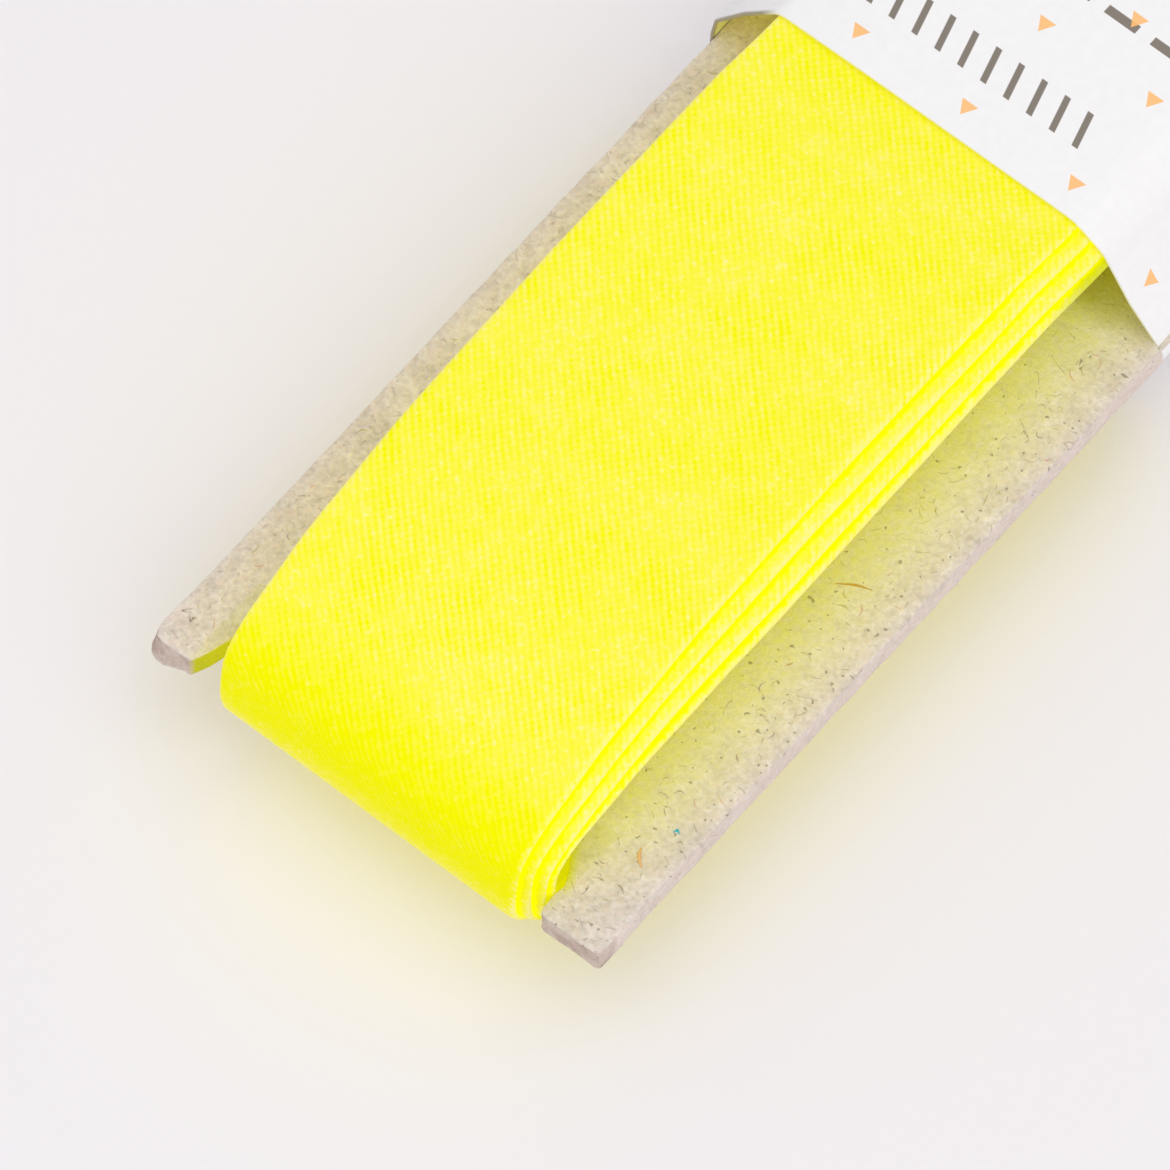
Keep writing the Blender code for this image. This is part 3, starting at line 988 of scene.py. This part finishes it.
def make_band():
    section = [(x * MM, BOARD_MIDDLE + z * MM) for x, z in BAND_SECTION]
    (x0, z0), (x1, z1) = section[:2]
    bpy.ops.object.select_all(action="DESELECT")
    bpy.ops.mesh.primitive_plane_add(size=1.0, location=((x0 + x1) / 2, 0.0, z0))
    band = bpy.context.object
    band.name = "lapped_paper_band"
    band.scale = (x0 - x1, 2 * BAND_HALF_LENGTH, 1.0)
    settle_place(band)
    bpy.ops.object.mode_set(mode="EDIT")
    pick_edges(band, lambda m: m.x < x1 + 0.1 * MM)
    bpy.ops.transform.translate(value=(0.0, 0.0, z1 - z0))
    for (x, z), (next_x, next_z) in zip(section[1:], section[2:]):
        move = {"value": (next_x - x, 0.0, next_z - z)}
        bpy.ops.mesh.extrude_region_move(TRANSFORM_OT_translate=move)
    for i in range(1, BAND_CUTS):
        cut_all((0.0, (2 * i / BAND_CUTS - 1) * BAND_HALF_LENGTH, 0.0), (0.0, 1.0, 0.0))
    bpy.ops.mesh.select_all(action="SELECT")
    bpy.ops.mesh.normals_make_consistent(inside=False)
    bpy.ops.object.mode_set(mode="OBJECT")
    lay_out_paper(band, section)
    turn_outwards(band)
    make_uneven(band, "paper_ease", PAPER_WAVE, PAPER_EASE)
    wall = band.modifiers.new("paper", "SOLIDIFY")
    wall.thickness = PAPER_THICKNESS
    wall.offset = -1.0
    apply_modifiers(band)
    bpy.ops.object.shade_smooth_by_angle(angle=BAND_SMOOTH_ANGLE)
    band.data.materials.append(label_paper())
    return band


def lay_out_paper(band, section):
    """The paper's own map: metres round the section from the printed face's left side, and along."""
    at = lengths_along(np.array(section))
    at -= at[TOP_LEFT_POINT]
    band.data.uv_layers.remove(band.data.uv_layers[0])
    layer = band.data.uv_layers.new(name="paper")
    for loop in band.data.loops:
        place = band.data.vertices[loop.vertex_index].co
        index = min(range(len(section)), key=lambda i: math.dist(section[i], (place.x, place.z)))
        layer.data[loop.index].uv = (at[index], place.y + BAND_HALF_LENGTH)


def turn_outwards(band):
    """Turns the open sheet's faces away from the board, if they look at it."""
    outward = 0.0
    for face in band.data.polygons:
        from_board = face.center - Vector((0.0, face.center.y, BOARD_MIDDLE))
        outward += face.normal.dot(from_board) * face.area
    if outward < 0:
        band.data.flip_normals()


# Loose fibres in the board's surface

HAIR_RADIUS = 0.03 * MM
HAIR_LIFT = 0.01 * MM  # its middle line lies this far above the board
HAIR_SHAPE = ((-0.5, 0.3), (0.05, 1.0), (0.5, 0.25))  # place along it in millimetres, thickness
HAIR_LENGTHS = (0.18, 0.8)
HAIR_WIDTHS = (0.5, 0.9)
# Strips of board that show beside the tape, in millimetres, and the share of strewn fibres that
# lies on the right one and at the near end
LEFT_STRIP = (-14.7, -13.0)
RIGHT_STRIP_END = 14.7
STRIP_ALONG = (21.0, 66.0)
RIGHT_SHARE = 0.72
NEAR_SHARE = 0.7
# Fibres that stand out, in millimetres: place, turn in degrees, length, width factor
KNOCKED_PLACES = [
    (-14.35, -64.8, 20.0, 0.4, 3.2),
    (-14.1, -65.0, 70.0, 0.3, 2.6),
    (-14.5, -64.6, 130.0, 0.3, 2.8),
]
STRAW_PLACES = [(13.24, -61.4, 129.0, 1.2, 4.2), (-13.2, 30.0, 20.0, 1.2, 1.0)]
BARK_PLACES = [
    (11.61, -41.6, 27.0, 2.0, 2.4),
    (11.9, -47.4, 60.0, 0.5, 1.2),
    (13.1, 35.0, 80.0, 1.1, 1.6),
]
DYED_PLACES = [(13.73, -59.1, 20.0, 0.35, 3.0), (-13.9, 44.0, 70.0, 0.5, 1.4)]
# Each kind: piece, finish, colour, roughness, bends in millimetres, how many are strewn and from
# where on the right strip, in millimetres, and those that have their own place
FIBRES = [
    # Matt dull grey, from printed waste paper
    ("grey_fibres", "grey_pulp_fibre", "#A09282", 0.9, (0.2, -0.12, 0.05), 40, 11.7, KNOCKED_PLACES),
    # Matt olive, yellowed by age
    ("olive_fibres", "yellowed_pulp_fibre", "#BDB36A", 0.9, (0.15, -0.1), 46, 10.6, []),
    # Matt pink-brown, from coloured paper
    ("pink_fibres", "pink_brown_pulp_fibre", "#D8A68C", 0.9, (0.1, -0.15), 16, 12.5, []),
    # Light orange-brown, a little smoother, a splinter of straw
    ("straw_fibres", "brown_straw_fibre", "#E6B777", 0.8, (0.03, -0.02), 0, 0.0, STRAW_PLACES),
    # Ochre, a little smoother, shreds of bark
    ("bark_fibres", "ochre_bark_fibre", "#C39A30", 0.8, (0.05, -0.03), 0, 0.0, BARK_PLACES),
    # Clear turquoise, from dyed paper
    ("dyed_fibres", "turquoise_dyed_fibre", "#2FB9C9", 0.8, (0.06,), 0, 0.0, DYED_PLACES),
]


def bent_hair(name, bend, finish):
    """One fibre a millimetre long, a bent curve that is thickest in the middle, lying along X."""
    bpy.ops.object.select_all(action="DESELECT")
    bpy.ops.curve.primitive_bezier_curve_add(radius=0.5 * MM)
    hair = bpy.context.object
    hair.name = name
    bpy.ops.object.mode_set(mode="EDIT")
    bpy.ops.curve.select_all(action="SELECT")
    bpy.ops.curve.subdivide(number_cuts=1)
    bpy.ops.object.mode_set(mode="OBJECT")
    sideways = (0.0, bend, 0.0)
    for point, (x, radius), y in zip(hair.data.splines[0].bezier_points, HAIR_SHAPE, sideways):
        point.handle_left_type = "AUTO"
        point.handle_right_type = "AUTO"
        point.co = (x * MM, y * MM, 0.0)
        point.radius = radius
    hair.data.resolution_u = 4
    hair.data.bevel_depth = HAIR_RADIUS
    hair.data.bevel_resolution = 1
    hair.data.use_fill_caps = True
    bpy.ops.object.convert(target="MESH")
    hair.data.materials.append(finish)
    return hair


def strewn_places(count, inner):
    """Random places on the strips of board beside the tape; the right strip starts at inner."""
    start, end = STRIP_ALONG
    places = []
    for _ in range(count):
        strip = (inner, RIGHT_STRIP_END) if random.random() < RIGHT_SHARE else LEFT_STRIP
        x = random.uniform(*strip)
        stretch = (-end, -start) if random.random() < NEAR_SHARE else (start, end)
        y = random.uniform(*stretch)
        turn = random.uniform(0, 180)
        length = random.uniform(*HAIR_LENGTHS)
        places.append((x, y, turn, length, random.uniform(*HAIR_WIDTHS)))
    return places


def scatter_hairs(name, finish, bends, places):
    """Copies bent hairs to their places and joins them in one piece."""
    originals = [bent_hair(f"{name}_{i}", bend, finish) for i, bend in enumerate(bends)]
    copies = []
    for i, (x, y, turn, length, width) in enumerate(places):
        copy = originals[i % len(originals)].copy()
        copy.data = copy.data.copy()
        copy.location = (x * MM, y * MM, BOARD_TOP + HAIR_LIFT)
        copy.rotation_euler = (0.0, 0.0, math.radians(turn))
        bend = max(length * 0.6, width)  # a long fibre bends further, a short one stays thick
        copy.scale = (length, bend, width)
        bpy.context.scene.collection.objects.link(copy)
        copies.append(copy)
    bpy.ops.object.select_all(action="DESELECT")
    for copy in copies:
        copy.select_set(True)
    bpy.context.view_layer.objects.active = copies[0]
    bpy.ops.object.join()
    joined = bpy.context.object
    joined.name = name
    for original in originals:
        bpy.data.objects.remove(original, do_unlink=True)
    settle_place(joined)
    return joined


def make_hairs():
    pieces = []
    for name, finish_name, code, roughness, bends, count, inner, own_places in FIBRES:
        finish, _, _ = new_material(finish_name, code, roughness)
        places = strewn_places(count, inner) + own_places
        pieces.append(scatter_hairs(name, finish, bends, places))
    return pieces


# Stage

def make_floor():
    bpy.ops.object.select_all(action="DESELECT")
    bpy.ops.mesh.primitive_plane_add(size=FLOOR_SIZE, location=(0.0, 0.0, 0.0))
    floor = bpy.context.object
    floor.name = "plain_table"
    # Matt white laminate, an even pale ground with soft shadows
    finish, _, _ = new_material("matt_white_laminate", "#F0EDF1", 0.85)
    floor.data.materials.append(finish)
    return floor


def aim_at_roll(item, azimuth, elevation, distance):
    """Places a camera or lamp at a distance from the roll, looking at it."""
    back = direction(azimuth, elevation)
    item.location = Vector(CAMERA_AIM) + back * distance
    item.rotation_euler = back.to_track_quat("Z", "Y").to_euler()
    bpy.context.scene.collection.objects.link(item)


def add_camera():
    lens = bpy.data.cameras.new("view")
    lens.lens = CAMERA_LENS
    lens.sensor_width = 36.0
    lens.clip_start = 0.1
    lens.clip_end = 20.0
    camera = bpy.data.objects.new("view", lens)
    aim_at_roll(camera, CAMERA_AZIMUTH, CAMERA_ELEVATION, CAMERA_DISTANCE)
    bpy.context.scene.camera = camera


def add_light():
    world = bpy.data.worlds.new("soft_room")
    bpy.context.scene.world = world
    world.use_nodes = True
    sky = world.node_tree.nodes["Background"]
    set_inputs(sky, {"Color": linear("#FFFEFF"), "Strength": SKY_STRENGTH})
    lamp = bpy.data.lights.new("softbox", "AREA")
    lamp.energy = LAMP_POWER
    lamp.size = LAMP_SIZE
    lamp.color = linear("#FFFFFF")[:3]
    softbox = bpy.data.objects.new("softbox", lamp)
    softbox.visible_camera = False
    aim_at_roll(softbox, LAMP_AZIMUTH, LAMP_ELEVATION, LAMP_DISTANCE)


add_camera()
add_light()
make_floor()

tape = make_tape()
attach(tape, "root")
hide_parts("wound_tape")

board = make_board()
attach(board, "root")
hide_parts("board_core")

band = make_band()
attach(band, "root")
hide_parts("paper_band")

for hairs in make_hairs():
    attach(hairs, "root")

bpy.context.scene.view_settings.view_transform = "Standard"
